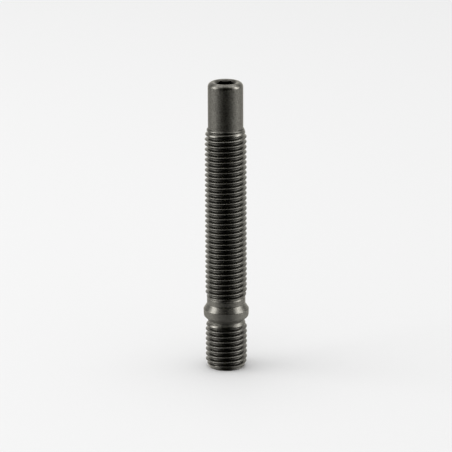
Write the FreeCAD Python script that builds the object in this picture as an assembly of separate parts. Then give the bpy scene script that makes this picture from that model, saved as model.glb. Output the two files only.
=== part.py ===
import FreeCAD, Part
import os
from math import radians, sin, tan

# Double-ended screw-in wheel stud with a stop collar, turned and thread-rolled from one bar.
# Frame: millimetres, +Z up along the bar, origin at the centre of the hub-side end face.
# The bar is written as six zones that meet face to face, one STEP file each.

os.makedirs("parts", exist_ok=True)

# ---- driving dimensions, mm ----

total_length = 83.85

# M12 x 1.5 thread, both ends, right-handed
pitch = 1.5
crest_r = 5.95
root_r = 5.1
crest_flat = pitch / 8
flank_angle = 30.0

# hub-side thread, with a chamfered end
hub_end_r = 5.0
hub_chamfer_top_z = 1.95
hub_crest_z = 1.49
hub_fade_start_z = 12.22
hub_fade_end_z = 13.92

# relief groove between the hub thread and the collar
neck_bottom_z = 13.22
neck_r = 5.14

# stop collar: lower flank, band that tapers a little downwards, upper cone
collar_bottom_z = 14.07
collar_flank_top_z = 15.27
collar_flank_top_r = 6.34
collar_flank_round = 0.45
collar_band_bottom_z = 15.77
collar_band_bottom_r = 6.44
collar_band_round = 0.5
collar_r = 6.48
collar_band_top_z = 17.37
collar_edge_round = 0.12
collar_cone_top_z = 18.92
collar_fillet = 0.6
collar_top_z = 19.17

# plain land above the collar, where the nut thread runs out
land_r = 5.5
land_shoulder_z = 20.55
land_top_z = 20.72

# nut thread
nut_crest_z = 20.11
nut_fade_low_z = 19.32
nut_fade_mid_z = 20.92
nut_fade_mid_r = 5.53
nut_fade_top_z = 22.52
nut_lead_bottom_z = 68.12
nut_root_top_z = 69.9
nut_start_r = 5.28
nut_start_bottom_z = 70.1
nut_start_chamfer_z = 70.3
nut_top_z = 70.67

# nose, a plain pilot whose end is fully rounded over to a flat ring
nose_r = 5.0
nose_shoulder_round = 1.3

# hexagon socket in the nose's end
socket_across_flats = 5.0
socket_depth = 6.0
socket_mouth_r = 3.3
socket_cone_angle = 30.0
drill_point_angle = 59.0

overrun = 2.0


def revolved(profile):
    """A solid of revolution about Z from (radius, z) corners; a third number rounds its corner."""
    corners = [FreeCAD.Vector(corner[0], 0, corner[1]) for corner in profile]
    radii = [corner[2] if len(corner) > 2 else 0 for corner in profile]
    starts = []
    ends = []
    edges = []
    for k, corner in enumerate(corners):
        if radii[k] == 0:
            starts.append(corner)
            ends.append(corner)
            continue
        before = (corners[k - 1] - corner).normalize()
        after = (corners[(k + 1) % len(corners)] - corner).normalize()
        half_angle = before.getAngle(after) / 2
        reach = radii[k] / tan(half_angle)
        centre = corner + (before + after).normalize() * (radii[k] / sin(half_angle))
        middle = centre + (corner - centre).normalize() * radii[k]
        starts.append(corner + before * reach)
        ends.append(corner + after * reach)
        edges.append(Part.Arc(starts[k], middle, ends[k]).toShape())
    for k, end in enumerate(ends):
        following = starts[(k + 1) % len(starts)]
        edges.append(Part.makeLine(end, following))
    wire = Part.Wire(Part.__sortEdges__(edges))
    face = Part.Face(wire)
    return face.revolve(FreeCAD.Vector(0, 0, 0), FreeCAD.Vector(0, 0, 1), 360)


def ridge(crest_z, z_top):
    """The thread's ridge as one right-handed helical bar, its crest at +X at height crest_z."""
    inner_r = root_r - 0.2
    outer_r = crest_r + 0.1
    slope = tan(radians(flank_angle))
    half_inner = crest_flat / 2 + (crest_r - inner_r) * slope
    half_outer = crest_flat / 2 - (outer_r - crest_r) * slope
    corners = [
        FreeCAD.Vector(inner_r, 0, crest_z - half_inner),
        FreeCAD.Vector(outer_r, 0, crest_z - half_outer),
        FreeCAD.Vector(outer_r, 0, crest_z + half_outer),
        FreeCAD.Vector(inner_r, 0, crest_z + half_inner),
    ]
    profile = Part.makePolygon(corners + [corners[0]])
    path = Part.makeLongHelix(pitch, z_top - crest_z, crest_r, 0)
    path.translate(FreeCAD.Vector(0, 0, crest_z))
    sweep = Part.BRepOffsetAPI.MakePipeShell(Part.Wire(path.Edges))
    sweep.setBiNormalMode(FreeCAD.Vector(0, 0, 1))
    sweep.add(profile)
    sweep.build()
    sweep.makeSolid()
    return sweep.shape()


def slab(z_low, z_high):
    """Everything between two heights, wider than the bar."""
    radius = 2 * crest_r
    return Part.makeCylinder(radius, z_high - z_low, FreeCAD.Vector(0, 0, z_low))


def write(name, shape):
    """One closed solid to its STEP file, after checking it."""
    solids = shape.Solids
    if len(solids) != 1 or not solids[0].isValid():
        raise ValueError(f"{name}: {len(solids)} solids, valid {[s.isValid() for s in solids]}")
    solids[0].exportStep(f"parts/{name}.step")
    box = solids[0].BoundBox
    print(f"{name:12s} z {box.ZMin:7.3f} to {box.ZMax:7.3f}  volume {solids[0].Volume:9.2f}")


def upper_threaded_bar():
    """Land and nut thread: a core with a small shoulder at its start, the ridge, and the lead chamfer."""
    core = revolved([
        (0, collar_top_z),
        (land_r, collar_top_z),
        (land_r, land_shoulder_z),
        (land_r - 0.12, land_shoulder_z + 0.3),
        (root_r, land_top_z + 1.0),
        (root_r, nut_root_top_z),
        (nut_start_r, nut_start_bottom_z),
        (nut_start_r, nut_top_z + overrun),
        (0, nut_top_z + overrun),
    ])
    limit = revolved([
        (0, nut_fade_low_z),
        (land_r - 0.05, nut_fade_low_z),
        (nut_fade_mid_r, nut_fade_mid_z),
        (crest_r, nut_fade_top_z),
        (crest_r, nut_top_z + overrun),
        (0, nut_top_z + overrun),
    ])
    lead_end_r = nut_start_r + 0.03
    lead_slope = (crest_r - lead_end_r) / (nut_start_chamfer_z - nut_lead_bottom_z)
    lead = revolved([
        (crest_r + lead_slope * overrun, nut_lead_bottom_z - overrun),
        (lead_end_r, nut_start_chamfer_z),
        (nose_r, nut_top_z),
        (0, nut_top_z),
        (0, nut_top_z + 2 * overrun),
        (2 * crest_r, nut_top_z + 2 * overrun),
        (2 * crest_r, nut_lead_bottom_z - overrun),
    ])
    thread = ridge(nut_crest_z - pitch, nut_top_z + overrun / 2).common(limit)
    return core.fuse(thread).cut(lead)


def lower_threaded_bar():
    """Hub thread and relief groove: a core, the ridge that fades into the groove, and the end chamfer."""
    core = revolved([
        (0, -overrun),
        (root_r, -overrun),
        (root_r, hub_fade_start_z),
        (neck_r, neck_bottom_z),
        (neck_r, collar_bottom_z),
        (0, collar_bottom_z),
    ])
    fade_slope = (crest_r - neck_r) / (hub_fade_end_z - hub_fade_start_z)
    limit = revolved([
        (0, -overrun),
        (crest_r, -overrun),
        (crest_r, hub_fade_start_z),
        (neck_r - fade_slope * 0.1, hub_fade_end_z + 0.1),
        (0, hub_fade_end_z + 0.1),
    ])
    end_slope = (crest_r - hub_end_r) / hub_chamfer_top_z
    end = revolved([
        (0, 0),
        (hub_end_r, 0),
        (crest_r + end_slope * overrun, hub_chamfer_top_z + overrun),
        (2 * crest_r, hub_chamfer_top_z + overrun),
        (2 * crest_r, -2 * overrun),
        (0, -2 * overrun),
    ])
    thread = ridge(hub_crest_z - 2 * pitch, hub_fade_end_z + pitch).common(limit)
    return core.fuse(thread).cut(end)


def stop_collar():
    """The collar: 45 degree lower flank, slightly tapered band, upper cone with a fillet at its top."""
    return revolved([
        (0, collar_bottom_z),
        (neck_r, collar_bottom_z),
        (collar_flank_top_r, collar_flank_top_z, collar_flank_round),
        (collar_band_bottom_r, collar_band_bottom_z, collar_band_round),
        (collar_r, collar_band_top_z, collar_edge_round),
        (land_r, collar_cone_top_z, collar_fillet),
        (land_r, collar_top_z),
        (0, collar_top_z),
    ])


def pilot_nose():
    """The plain nose with its rounded shoulder and the hexagon socket."""
    bar = revolved([
        (0, nut_top_z),
        (nose_r, nut_top_z),
        (nose_r, total_length, nose_shoulder_round),
        (0, total_length),
    ])
    corner_r = socket_across_flats / 2 / tan(radians(60)) * 2
    corners = []
    for k in range(6):
        turn = FreeCAD.Rotation(FreeCAD.Vector(0, 0, 1), 60 * k)
        corners.append(turn.multVec(FreeCAD.Vector(corner_r, 0, 0)))
    hexagon = Part.Face(Part.makePolygon(corners + [corners[0]]))
    socket = hexagon.extrude(FreeCAD.Vector(0, 0, socket_depth + 1))
    socket.translate(FreeCAD.Vector(0, 0, total_length - socket_depth))
    mouth_slope = tan(radians(socket_cone_angle))
    mouth_depth = (socket_mouth_r - socket_across_flats / 2 + 0.1) * mouth_slope
    mouth = revolved([
        (0, total_length - mouth_depth),
        (socket_mouth_r - mouth_depth / mouth_slope, total_length - mouth_depth),
        (socket_mouth_r + 1, total_length + mouth_slope),
        (0, total_length + mouth_slope),
    ])
    drill_r = socket_across_flats / 2 - 0.05
    drill_point = revolved([
        (0, total_length - socket_depth - drill_r / tan(radians(drill_point_angle))),
        (drill_r, total_length - socket_depth),
        (drill_r, total_length - socket_depth + 0.5),
        (0, total_length - socket_depth + 0.5),
    ])
    return bar.cut(socket.fuse(mouth).fuse(drill_point))


upper = upper_threaded_bar()
lower = lower_threaded_bar()

write("hub_thread", lower.common(slab(-1, neck_bottom_z)))
write("neck", lower.common(slab(neck_bottom_z, collar_bottom_z)))
write("collar", stop_collar())
write("runout_land", upper.common(slab(collar_top_z, land_top_z)))
write("nut_thread", upper.common(slab(land_top_z, nut_top_z)))
write("nose", pilot_nose())
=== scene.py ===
from math import cos, pi, radians, sin, sqrt, tan

import bmesh
import bpy
import numpy as np
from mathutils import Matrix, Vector


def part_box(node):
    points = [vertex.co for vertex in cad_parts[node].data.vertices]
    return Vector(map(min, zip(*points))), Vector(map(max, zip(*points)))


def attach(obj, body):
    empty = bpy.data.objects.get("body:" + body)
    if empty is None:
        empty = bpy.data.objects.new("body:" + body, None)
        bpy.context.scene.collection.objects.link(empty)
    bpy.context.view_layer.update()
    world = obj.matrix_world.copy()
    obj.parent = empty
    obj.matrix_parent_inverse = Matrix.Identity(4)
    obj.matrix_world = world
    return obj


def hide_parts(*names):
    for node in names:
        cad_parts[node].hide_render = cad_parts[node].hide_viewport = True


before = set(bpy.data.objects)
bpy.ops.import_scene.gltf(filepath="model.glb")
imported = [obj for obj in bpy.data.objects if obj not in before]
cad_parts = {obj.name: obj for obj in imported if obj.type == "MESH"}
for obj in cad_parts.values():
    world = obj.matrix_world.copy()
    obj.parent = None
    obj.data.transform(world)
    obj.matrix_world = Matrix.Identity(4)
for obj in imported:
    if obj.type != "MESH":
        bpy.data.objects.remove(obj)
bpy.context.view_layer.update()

MM = 0.001
rng = np.random.default_rng(7)

# ---- sizes in mm, the same as the CAD model's ----

PITCH = 1.5
CREST_R = 5.95
ROOT_R = 5.1
NECK_R = 5.14
LAND_R = 5.5
NOSE_R = 5.0
COLLAR_R = 6.48
FLANK = tan(radians(30))
CREST_FLAT = PITCH / 8


def zone(node):
    """Lower and upper height of a CAD node, in mm."""
    low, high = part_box(node)
    return low.z / MM, high.z / MM


# ---- mesh helpers ----

def finish_mesh(name, bm, sharp_angle):
    """A new object from a bmesh in mm: outward normals, sharp edges only where faces really turn."""
    bmesh.ops.remove_doubles(bm, verts=bm.verts, dist=1e-4)
    bmesh.ops.recalc_face_normals(bm, faces=bm.faces)
    for face in bm.faces:
        face.smooth = True
    for edge in bm.edges:
        if edge.calc_face_angle(0.0) > radians(sharp_angle):
            edge.smooth = False
    bmesh.ops.scale(bm, vec=(MM, MM, MM), verts=bm.verts)
    mesh = bpy.data.meshes.new(name)
    bm.to_mesh(mesh)
    bm.free()
    obj = bpy.data.objects.new(name, mesh)
    bpy.context.scene.collection.objects.link(obj)
    return obj


def soft_min(a, b, k):
    h = np.clip(0.5 + 0.5 * (b - a) / k, 0, 1)
    return b * (1 - h) + a * h - k * h * (1 - h)


def soft_max(a, b, k):
    return -soft_min(-a, -b, k)


def piecewise(z, points):
    """Straight runs between (z, radius) points."""
    zs, rs = zip(*points)
    return np.interp(z, zs, rs)


def ring_noise(theta, z, terms):
    """A smooth sum of waves round and along the bar, always the same."""
    total = np.zeros_like(z)
    for around, along, phase in terms:
        total += np.sin(around * theta + along * z + phase)
    return total / len(terms)


def wave_terms(count, around, along):
    """Random waves with whole numbers of lobes round the bar, so that they close."""
    terms = []
    for _ in range(count):
        lobes = int(rng.integers(around[0], around[1]))
        terms.append((lobes, rng.uniform(*along), rng.uniform(0, 2 * pi)))
    return terms


def thread_piece(name, low, high, crest_z, root, limit, core, columns=144):
    """One zone of thread as a closed mesh. Its rows follow the helix, so crest and root stay clean."""
    steps = [0, 0.02, 0.045, 0.07, 0.1, 0.14, 0.2, 0.3, 0.4, 0.48, 0.54, 0.59, 0.64, 0.7]
    steps = np.array(sorted([-s for s in steps[1:]] + steps + [PITCH / 2]))
    per_pitch = len(steps)
    turns = range(int((low - crest_z) / PITCH) - 3, int((high - crest_z) / PITCH) + 3)
    base = np.concatenate([crest_z + k * PITCH + steps for k in turns])
    s = np.tile(steps, len(turns))
    theta = 2 * pi * np.arange(columns) / columns
    z = base[:, None] + PITCH * np.arange(columns)[None, :] / columns
    s = np.repeat(s[:, None], columns, axis=1)
    angle = np.repeat(theta[None, :], len(base), axis=0)
    uneven = ring_noise(angle, z, waves_crest)
    crest = CREST_R - 0.006 + 0.03 * np.minimum(uneven, 0)
    seam = 0.02 * np.exp(-(s / 0.025) ** 2)
    bend = CREST_FLAT / 2
    r = crest - seam - (np.sqrt(s ** 2 + bend ** 2) - bend) / FLANK
    r = soft_max(r, root(z), 0.10)
    r = soft_min(r, limit(z), 0.05)
    r = soft_max(r, core(z), 0.06)
    r = np.minimum(r, CREST_R)
    bm = bmesh.new()
    verts = []
    for j in range(len(base)):
        verts.append([
            bm.verts.new((r[j, i] * cos(theta[i]), r[j, i] * sin(theta[i]), z[j, i]))
            for i in range(columns)
        ])
    for j in range(len(base) - 1):
        for i in range(columns):
            if i + 1 < columns:
                right_low, right_high = verts[j][i + 1], verts[j + 1][i + 1]
            elif j + 1 + per_pitch < len(base):
                right_low, right_high = verts[j + per_pitch][0], verts[j + 1 + per_pitch][0]
            else:
                continue
            bm.faces.new((verts[j][i], right_low, right_high, verts[j + 1][i]))
    for height, up in ((low, -1), (high, 1)):
        geometry = bm.verts[:] + bm.edges[:] + bm.faces[:]
        bmesh.ops.bisect_plane(
            bm, geom=geometry, plane_co=(0, 0, height), plane_no=(0, 0, up), clear_outer=True
        )
        rim = [e for e in bm.edges if e.is_boundary and all(abs(v.co.z - height) < 1e-5 for v in e.verts)]
        bmesh.ops.contextual_create(bm, geom=rim)
    return finish_mesh(name, bm, 50)


def polar_piece(name, rows, columns=192):
    """A closed mesh from rows of (radius, height) arrays round the axis, capped or closed at each end."""
    theta = 2 * pi * np.arange(columns) / columns
    bm = bmesh.new()
    rings = []
    for r, z in rows:
        r = np.broadcast_to(r, columns)
        z = np.broadcast_to(z, columns)
        rings.append([
            bm.verts.new((r[i] * cos(theta[i]), r[i] * sin(theta[i]), z[i])) for i in range(columns)
        ])
    for a, b in zip(rings, rings[1:]):
        for i in range(columns):
            j = (i + 1) % columns
            bm.faces.new((a[i], a[j], b[j], b[i]))
    for ring in (rings[0], rings[-1]):
        bm.faces.new(ring)
    return finish_mesh(name, bm, 26)


def rounded(points, radii, steps=6):
    """A (radius, height) profile whose inner corners are replaced by arcs of the given radii."""
    out = [points[0]]
    for (p, q, t), radius in zip(zip(points, points[1:], points[2:]), radii):
        p, q, t = Vector(p), Vector(q), Vector(t)
        a, b = (p - q).normalized(), (t - q).normalized()
        half = a.angle(b) / 2
        if radius <= 0 or half > radians(89):
            out.append(tuple(q))
            continue
        reach = radius / tan(half)
        centre = q + (a + b).normalized() * radius / sin(half)
        start, end = q + a * reach - centre, q + b * reach - centre
        for k in range(steps + 1):
            f = k / steps
            out.append(tuple(centre + (start * (1 - f) + end * f).normalized() * radius))
    out.append(points[-1])
    return out


def spaced(profile, step):
    """The profile with long straight runs divided."""
    out = [profile[0]]
    for p, q in zip(profile, profile[1:]):
        length = sqrt((q[0] - p[0]) ** 2 + (q[1] - p[1]) ** 2)
        count = max(1, int(length / step))
        for k in range(1, count + 1):
            f = k / count
            out.append((p[0] + (q[0] - p[0]) * f, p[1] + (q[1] - p[1]) * f))
    return out


waves_crest = wave_terms(14, (2, 40), (-9, 9))

# ---- the two threads ----

hub_low, hub_high = zone("hub_thread")
neck_low, neck_high = zone("neck")
collar_low, collar_high = zone("collar")
land_low, land_high = zone("runout_land")
nut_low, nut_high = zone("nut_thread")
nose_low, nose_high = zone("nose")


def hub_root(z):
    return np.full_like(z, ROOT_R)


def hub_limit(z):
    end_slope = (CREST_R - 5.0) / 1.95
    return piecewise(z, [
        (-4, 5.0 - 4 * end_slope),
        (1.95, CREST_R),
        (2.0, 7),
        (12.17, 7),
        (12.22, CREST_R),
        (13.92, NECK_R),
        (14.3, 4.96),
    ])


def hub_core(z):
    return piecewise(z, [(-4, 0), (12.22, 0), (12.23, ROOT_R), (13.22, NECK_R), (20, NECK_R)])


def nut_root(z):
    return piecewise(z, [(17, ROOT_R), (69.9, ROOT_R), (70.1, 5.28), (80, 5.28)])


def nut_limit(z):
    start_slope = (5.31 - NOSE_R) / (nut_high - 70.3)
    return piecewise(z, [
        (18, 5.17),
        (19.32, 5.45),
        (20.92, 5.53),
        (22.52, CREST_R),
        (22.57, 7),
        (68.07, 7),
        (68.12, CREST_R),
        (70.3, 5.31),
        (nut_high, NOSE_R),
        (74, NOSE_R - (74 - nut_high) * start_slope),
    ])


def nut_core(z):
    return piecewise(z, [
        (17, LAND_R),
        (20.55, LAND_R),
        (20.8, LAND_R - 0.12),
        (21.72, ROOT_R),
        (21.73, 0),
        (80, 0),
    ])


HUB_CREST_Z = 1.49
NUT_CREST_Z = 20.11
hub_thread = thread_piece("hub_thread_rolled", hub_low, hub_high, HUB_CREST_Z, hub_root, hub_limit, hub_core)
neck = thread_piece("neck_groove", neck_low, neck_high, HUB_CREST_Z, hub_root, hub_limit, hub_core)
land = thread_piece("runout_land_turned", land_low, land_high, NUT_CREST_Z, nut_root, nut_limit, nut_core)
nut_thread = thread_piece("nut_thread_rolled", nut_low, nut_high, NUT_CREST_Z, nut_root, nut_limit, nut_core)

# ---- collar ----

collar_profile = rounded(
    [
        (NECK_R, collar_low),
        (6.34, collar_low + 1.2),
        (6.44, collar_low + 1.7),
        (COLLAR_R, collar_low + 3.3),
        (LAND_R, collar_low + 4.85),
        (LAND_R, collar_high),
    ],
    [0.45, 0.5, 0.16, 0.6],
)
collar = polar_piece("stop_collar_turned", spaced(collar_profile, 0.25))

# ---- nose with its hexagon socket ----

COLUMNS = 192
hexagon = 2.5 / np.cos(np.radians((np.arange(COLUMNS) * 360 / COLUMNS) % 60 - 30))
hexagon = soft_min(hexagon, np.full(COLUMNS, 2.87), 0.04)
outer = rounded([(NOSE_R, nose_low), (NOSE_R, nose_high), (3.3, nose_high)], [1.3], 14)
rows = [(r, z) for r, z in spaced(outer, 0.5)]
mouth_slope = sqrt(3)
rows[-1] = (3.34, nose_high)
rows.append((3.305, nose_high - 0.012))
edge_z = nose_high - 0.012 - (3.305 - hexagon) / mouth_slope
rows.append((hexagon + 0.03, edge_z + 0.03 / mouth_slope))
rows.append((hexagon, edge_z - 0.03))
for depth in (1.0, 2.0, 3.5, 5.0, 6.0):
    rows.append((hexagon, np.full(COLUMNS, nose_high - depth)))
rows.append((2.4, nose_high - 6.0))
rows.append((1.2, nose_high - 6.0 - 1.2 / tan(radians(59))))
rows.append((0.05, nose_high - 6.0 - 2.35 / tan(radians(59))))
nose = polar_piece("pilot_nose_turned", rows, COLUMNS)


# ---- materials ----

class Nodes:
    """Short helpers for one material's node tree."""

    def __init__(self, name):
        self.material = bpy.data.materials.new(name)
        self.material.use_nodes = True
        self.tree = self.material.node_tree
        self.shader = self.tree.nodes["Principled BSDF"]

    def add(self, kind, **values):
        node = self.tree.nodes.new(kind)
        for key, value in values.items():
            setattr(node, key, value)
        return node

    def link(self, a, b):
        self.tree.links.new(a, b)

    def math(self, operation, a, b=None, clamp=False):
        node = self.add("ShaderNodeMath", operation=operation, use_clamp=clamp)
        for socket, value in zip(node.inputs, (a, b)):
            if value is None:
                continue
            if isinstance(value, (int, float)):
                socket.default_value = value
            else:
                self.link(value, socket)
        return node.outputs[0]

    def ramp(self, value, low, high, out_low=0.0, out_high=1.0):
        node = self.add("ShaderNodeMapRange", clamp=True)
        self.link(value, node.inputs["Value"])
        node.inputs["From Min"].default_value = low
        node.inputs["From Max"].default_value = high
        node.inputs["To Min"].default_value = out_low
        node.inputs["To Max"].default_value = out_high
        return node.outputs[0]

    def noise(self, vector, scale, detail=2.0, roughness=0.5):
        node = self.add("ShaderNodeTexNoise")
        self.link(vector, node.inputs["Vector"])
        node.inputs["Scale"].default_value = scale
        node.inputs["Detail"].default_value = detail
        node.inputs["Roughness"].default_value = roughness
        return node.outputs["Fac"]

    def stretched(self, vector, scale):
        node = self.add("ShaderNodeMapping")
        self.link(vector, node.inputs["Vector"])
        node.inputs["Scale"].default_value = scale
        return node.outputs[0]

    def mix(self, factor, a, b):
        node = self.add("ShaderNodeMix", data_type="RGBA")
        self.link(factor, node.inputs[0])
        for socket, value in ((node.inputs[6], a), (node.inputs[7], b)):
            if isinstance(value, tuple):
                socket.default_value = value
            else:
                self.link(value, socket)
        return node.outputs[2]


def black_steel(
    name, rough, base_low, base_high, grain, turned, sparkle, dull=None, painted_recess_shade=None, worn=None, polished=None
):
    """Blacked steel: near-black, a little olive, with fine grain and turning marks.

    sparkle: lowest and highest shine of the grain.
    dull: height bands in mm and how much duller and greyer they are.
    inner: two radii in mm; inside the first the shine drops to the given fraction and the colour darkens
    towards black, painted shade in hollows such as the thread roots and the socket; full shine and colour
    beyond the second.
    worn: two radii in mm and how many times shinier the rubbed crests are beyond the second.
    polished: a height in mm and how much smoother the surface is above it.
    """
    n = Nodes(name)
    place = n.add("ShaderNodeTexCoord").outputs["Object"]
    fine = n.noise(place, 3600, 3, 0.6)
    broad = n.noise(place, 700, 3, 0.55)
    lines = n.noise(n.stretched(place, (60, 60, 4200)), 1.0, 3, 0.6)
    mottle = n.ramp(n.math("ADD", n.math("MULTIPLY", fine, 0.5), n.math("MULTIPLY", broad, 0.5)), 0.35, 0.65)
    colour = n.mix(mottle, base_low, base_high)
    roughness = n.ramp(mottle, 0.0, 1.0, rough - 0.06, rough + 0.06)
    shine = n.ramp(n.noise(place, 2300, 2, 0.55), 0.36, 0.64, sparkle[0], sparkle[1])
    height = n.add("ShaderNodeSeparateXYZ")
    n.link(place, height.inputs[0])
    if dull:
        mask = None
        for low, high, strength in dull:
            rise = n.ramp(height.outputs[2], (low - 0.04) * MM, (low + 0.04) * MM, 0.0, strength)
            fall = n.ramp(height.outputs[2], (high - 0.04) * MM, (high + 0.04) * MM, 1.0, 0.0)
            band = n.math("MULTIPLY", rise, fall)
            mask = band if mask is None else n.math("MAXIMUM", mask, band)
        grey = n.mix(mottle, (0.021, 0.0205, 0.0175, 1), (0.037, 0.0363, 0.0315, 1))
        colour = n.mix(mask, colour, grey)
        roughness = n.math("ADD", roughness, n.math("MULTIPLY", mask, 0.2), clamp=True)
    if polished:
        low, high = (polished[0] - 0.15) * MM, (polished[0] + 0.15) * MM
        smooth = n.ramp(height.outputs[2], low, high, 0.0, polished[1])
        roughness = n.math("SUBTRACT", roughness, smooth, clamp=True)
    across = n.add("ShaderNodeVectorMath", operation="MULTIPLY")
    n.link(place, across.inputs[0])
    across.inputs[1].default_value = (1, 1, 0)
    radius = n.add("ShaderNodeVectorMath", operation="LENGTH")
    n.link(across.outputs[0], radius.inputs[0])
    # Painted shade: inside the first radius the colour goes towards near black and the shine drops, standing
    # in for shade in the thread roots and the hex socket.
    if painted_recess_shade:
        painted_shade_share = n.ramp(radius.outputs["Value"], painted_recess_shade[0] * MM, painted_recess_shade[1] * MM, painted_recess_shade[2], 1.0)
        shine = n.math("MULTIPLY", shine, painted_shade_share)
        colour = n.mix(painted_shade_share, (0.0010, 0.0010, 0.0006, 1), colour)
    if worn:
        rubbed = n.ramp(radius.outputs["Value"], worn[0] * MM, worn[1] * MM, 1.0, worn[2])
        shine = n.math("MULTIPLY", shine, rubbed)
    n.link(colour, n.shader.inputs["Base Color"])
    n.link(roughness, n.shader.inputs["Roughness"])
    n.link(shine, n.shader.inputs["Specular IOR Level"])
    n.shader.inputs["Metallic"].default_value = 0.0
    n.shader.inputs["IOR"].default_value = 1.55
    bump = n.add("ShaderNodeBump")
    bump.inputs["Strength"].default_value = grain
    bump.inputs["Distance"].default_value = 0.00002
    relief = n.math("ADD", n.math("MULTIPLY", fine, 1 - turned), n.math("MULTIPLY", lines, turned))
    n.link(relief, bump.inputs["Height"])
    n.link(bump.outputs[0], n.shader.inputs["Normal"])
    return n.material


olive_low = (0.0020, 0.0020, 0.0011, 1)
olive_high = (0.0042, 0.0041, 0.0025, 1)
# Painted shade in the thread roots: below 5.12 mm radius the colour is half way to black and the shine
# halved, rising to full by 5.3 mm.
root_painted_shade = (5.12, 5.3, 0.5)
crest = (5.84, 5.94, 1.4)
thread_steel = black_steel(
    "black_thread_steel", 0.21, olive_low, olive_high, 0.35, 0.2,
    (0.40, 0.60), [(20.6, 20.9, 0.5)], root_painted_shade, crest
)
hub_steel = black_steel(
    "black_hub_thread_steel", 0.21, olive_low, olive_high, 0.35, 0.2,
    (0.40, 0.60), [(-0.5, 0.22, 0.8)], root_painted_shade, crest
)
# Painted shade in the hex socket: inside 2.95 mm radius the colour is mostly near black and the shine cut to
# 0.22, full again by 3.36 mm.
nose_steel = black_steel(
    "black_nose_steel", 0.38, (0.0034, 0.0034, 0.0021, 1), (0.0086, 0.0084, 0.0060, 1), 0.9, 0.35,
    (0.30, 0.62), None, (2.95, 3.36, 0.22), None, (82.6, 0.17)
)
collar_steel = black_steel(
    "black_collar_steel", 0.26, olive_low, olive_high, 0.25, 0.5,
    (0.42, 0.58), [(13, 14.1, 0.5), (14.1, 17.32, 1.0), (19.25, 20.3, 0.7), (20.56, 20.9, 0.5)]
)

for obj, node, material, slot in (
    (hub_thread, "hub_thread", hub_steel, "black_thread"),
    (neck, "neck", collar_steel, "black_turned"),
    (collar, "collar", collar_steel, "black_turned"),
    (land, "runout_land", collar_steel, "black_turned"),
    (nut_thread, "nut_thread", thread_steel, "black_thread"),
    (nose, "nose", nose_steel, "black_turned"),
):
    obj.data.materials.append(material)
    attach(obj, "root")
    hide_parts(node)

# ---- floor ----

half = 4.0
floor_mesh = bpy.data.meshes.new("studio_floor")
floor_mesh.from_pydata(
    [(-half, -half, 0), (half, -half, 0), (half, half, 0), (-half, half, 0)], [], [(0, 1, 2, 3)]
)
floor = bpy.data.objects.new("studio_floor", floor_mesh)
bpy.context.scene.collection.objects.link(floor)
paper = Nodes("white_paper")
paper_place = paper.add("ShaderNodeTexCoord").outputs["Object"]
paper_noise = paper.noise(paper_place, 900, 2)
paper.link(
    paper.mix(paper_noise, (0.80, 0.80, 0.80, 1), (0.81, 0.81, 0.81, 1)), paper.shader.inputs["Base Color"]
)
paper.shader.inputs["Roughness"].default_value = 1.0
paper.shader.inputs["Specular IOR Level"].default_value = 0.0
floor_mesh.materials.append(paper.material)
floor.visible_glossy = False

# ---- the studio seen in reflections: a dome that only glossy rays meet ----

def studio_dome():
    bm = bmesh.new()
    bmesh.ops.create_icosphere(bm, subdivisions=4, radius=3.0)
    bmesh.ops.reverse_faces(bm, faces=bm.faces)
    mesh = bpy.data.meshes.new("studio_dome")
    bm.to_mesh(mesh)
    bm.free()
    dome = bpy.data.objects.new("studio_dome", mesh)
    bpy.context.scene.collection.objects.link(dome)
    dome.location = (0, 0, 0.04)
    dome.visible_camera = False
    dome.visible_diffuse = False
    dome.visible_transmission = False
    dome.visible_volume_scatter = False
    dome.visible_shadow = False
    return dome


def az_ramp(n, azimuth, stops, scale):
    """A smooth curve over azimuth in degrees, 0 at the front and 180 behind."""
    ramp = n.add("ShaderNodeValToRGB")
    ramp.color_ramp.interpolation = "B_SPLINE"
    points = ramp.color_ramp.elements
    while len(points) < len(stops):
        points.new(0.5)
    for point, (degrees, value) in zip(points, stops):
        point.position = degrees / 180
        point.color = (value / scale, value / scale, value / scale, 1)
    n.link(n.math("DIVIDE", azimuth, pi), ramp.inputs[0])
    return n.math("MULTIPLY", ramp.outputs[0], scale)


def step(n, value, low, high):
    """Smooth rise from 0 to 1 between two angles in degrees, or falls if high is the smaller."""
    node = n.add("ShaderNodeMapRange", clamp=True, interpolation_type="SMOOTHSTEP")
    n.link(value, node.inputs["Value"])
    node.inputs["From Min"].default_value = radians(min(low, high))
    node.inputs["From Max"].default_value = radians(max(low, high))
    node.inputs["To Min"].default_value = 0.0 if low < high else 1.0
    node.inputs["To Max"].default_value = 1.0 if low < high else 0.0
    return node.outputs[0]


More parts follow.
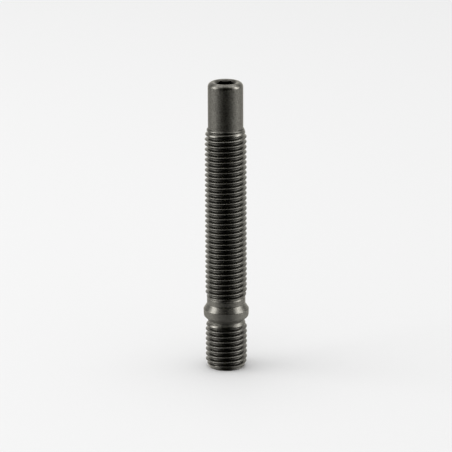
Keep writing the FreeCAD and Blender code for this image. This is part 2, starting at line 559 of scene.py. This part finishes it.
def dome_light():
    """White wall behind, dark in front, a tall softbox on each side and bright upper corners."""
    n = Nodes("studio_light")
    place = n.add("ShaderNodeTexCoord").outputs["Object"]
    direction = n.add("ShaderNodeVectorMath", operation="NORMALIZE")
    n.link(place, direction.inputs[0])
    parts = n.add("ShaderNodeSeparateXYZ")
    n.link(direction.outputs[0], parts.inputs[0])
    side = n.math("ABSOLUTE", parts.outputs[0])
    front = n.math("MULTIPLY", parts.outputs[1], -1.0)
    azimuth = n.math("ARCTAN2", side, front)
    height = n.math("ARCSINE", parts.outputs[2])
    low = az_ramp(n, azimuth, LOW_STOPS, 8.0)
    wall = n.math("MULTIPLY", step(n, azimuth, 96, 125), WALL)
    box = n.math("MULTIPLY", az_ramp(n, azimuth, BOX_STOPS, 20.0), step(n, height, -6, 6))
    box = n.math("MULTIPLY", box, step(n, height, 52, 40))
    above = step(n, height, -8, 2)
    down = n.math("MULTIPLY", step(n, height, -38, -52), 1.0)
    side_floor = n.add("ShaderNodeMapRange", clamp=True, interpolation_type="SMOOTHSTEP")
    n.link(side, side_floor.inputs["Value"])
    side_floor.inputs["From Min"].default_value = 0.28
    side_floor.inputs["From Max"].default_value = 0.50
    side_floor.inputs["To Min"].default_value = 0.02
    side_floor.inputs["To Max"].default_value = FLOOR_SIDE
    floor_part = n.add("ShaderNodeMix", data_type="FLOAT")
    n.link(down, floor_part.inputs[0])
    n.link(low, floor_part.inputs[2])
    n.link(side_floor.outputs[0], floor_part.inputs[3])
    upper = n.math("ADD", wall, box)
    mixed = n.add("ShaderNodeMix", data_type="FLOAT")
    n.link(above, mixed.inputs[0])
    n.link(floor_part.outputs[0], mixed.inputs[2])
    n.link(upper, mixed.inputs[3])
    overhead = n.math("ARCTAN2", parts.outputs[2], front)
    top = az_ramp(n, n.math("MAXIMUM", overhead, 0.0), TOP_STOPS, 8.0)
    corner = n.math("ADD", n.math("MULTIPLY", side, CORNER), top)
    ceiling = n.add("ShaderNodeMix", data_type="FLOAT")
    n.link(step(n, height, 40, 60), ceiling.inputs[0])
    n.link(mixed.outputs[0], ceiling.inputs[2])
    n.link(corner, ceiling.inputs[3])
    glow = n.add("ShaderNodeEmission")
    glow.inputs["Color"].default_value = (1.0, 0.965, 0.87, 1)
    n.link(ceiling.outputs[0], glow.inputs["Strength"])
    n.link(glow.outputs[0], n.tree.nodes["Material Output"].inputs["Surface"])
    n.material.cycles.emission_sampling = "NONE"
    return n.material


LOW_STOPS = [
    (0, 0.0), (14, 0.0), (28, 0.35), (40, 0.9), (54, 1.7),
    (68, 2.7), (84, 3.4), (102, 2.0), (124, 1.0), (180, 1.0)
]
BOX_STOPS = [
    (0, 0.0), (47, 0.0), (59, 4.0), (69, 12.0),
    (78, 14.5), (88, 13.0), (97, 6.0), (108, 1.0), (118, 0.0), (180, 0.0)
]
WALL = 1.05
FLOOR_SIDE = 1.6
TOP_STOPS = [(0, 0.0), (50, 0.05), (66, 0.4), (79, 1.9), (92, 3.8), (110, 3.2), (180, 3.0)]
CORNER = 6.4

dome = studio_dome()
dome.data.materials.append(dome_light())

# ---- light on the floor, not seen in reflections ----

def softbox(name, place, aim, width, height, watts):
    light = bpy.data.lights.new(name, "AREA")
    light.shape = "RECTANGLE"
    light.size = width
    light.size_y = height
    light.energy = watts
    obj = bpy.data.objects.new(name, light)
    bpy.context.scene.collection.objects.link(obj)
    obj.location = place
    obj.rotation_euler = (Vector(aim) - Vector(place)).to_track_quat("-Z", "Y").to_euler()
    obj.visible_glossy = False
    obj.visible_camera = False
    return obj


softbox("overhead", (-0.1, 0.1, 1.6), (0, 0, 0), 1.4, 1.4, 13.2)
softbox("left_fill", (-1.06, -0.1, 0.75), (0, 0, 0), 1.0, 0.8, 3.4)

world = bpy.data.worlds.new("studio")
bpy.context.scene.world = world
world.use_nodes = True
world.node_tree.nodes["Background"].inputs["Color"].default_value = (1, 1, 1, 1)
world.node_tree.nodes["Background"].inputs["Strength"].default_value = 0.625
world.cycles_visibility.glossy = False

bpy.context.scene.view_settings.view_transform = "Standard"
bpy.context.scene.view_settings.look = "None"

# ---- camera ----

distance = 0.88
elevation = radians(16.4)
target = Vector((0.00002, 0, 0.04177))
camera_data = bpy.data.cameras.new("camera")
camera_data.sensor_width = 36
camera_data.lens = 3097.8 / 452 * 36
camera_data.clip_start = 0.01
camera = bpy.data.objects.new("camera", camera_data)
bpy.context.scene.collection.objects.link(camera)
camera.location = target + distance * Vector((0, -cos(elevation), sin(elevation)))
view = (target - camera.location).to_track_quat("-Z", "Y")
camera.rotation_euler = view.to_euler()
camera.rotation_euler.rotate_axis("Z", radians(-0.20))
bpy.context.scene.camera = camera
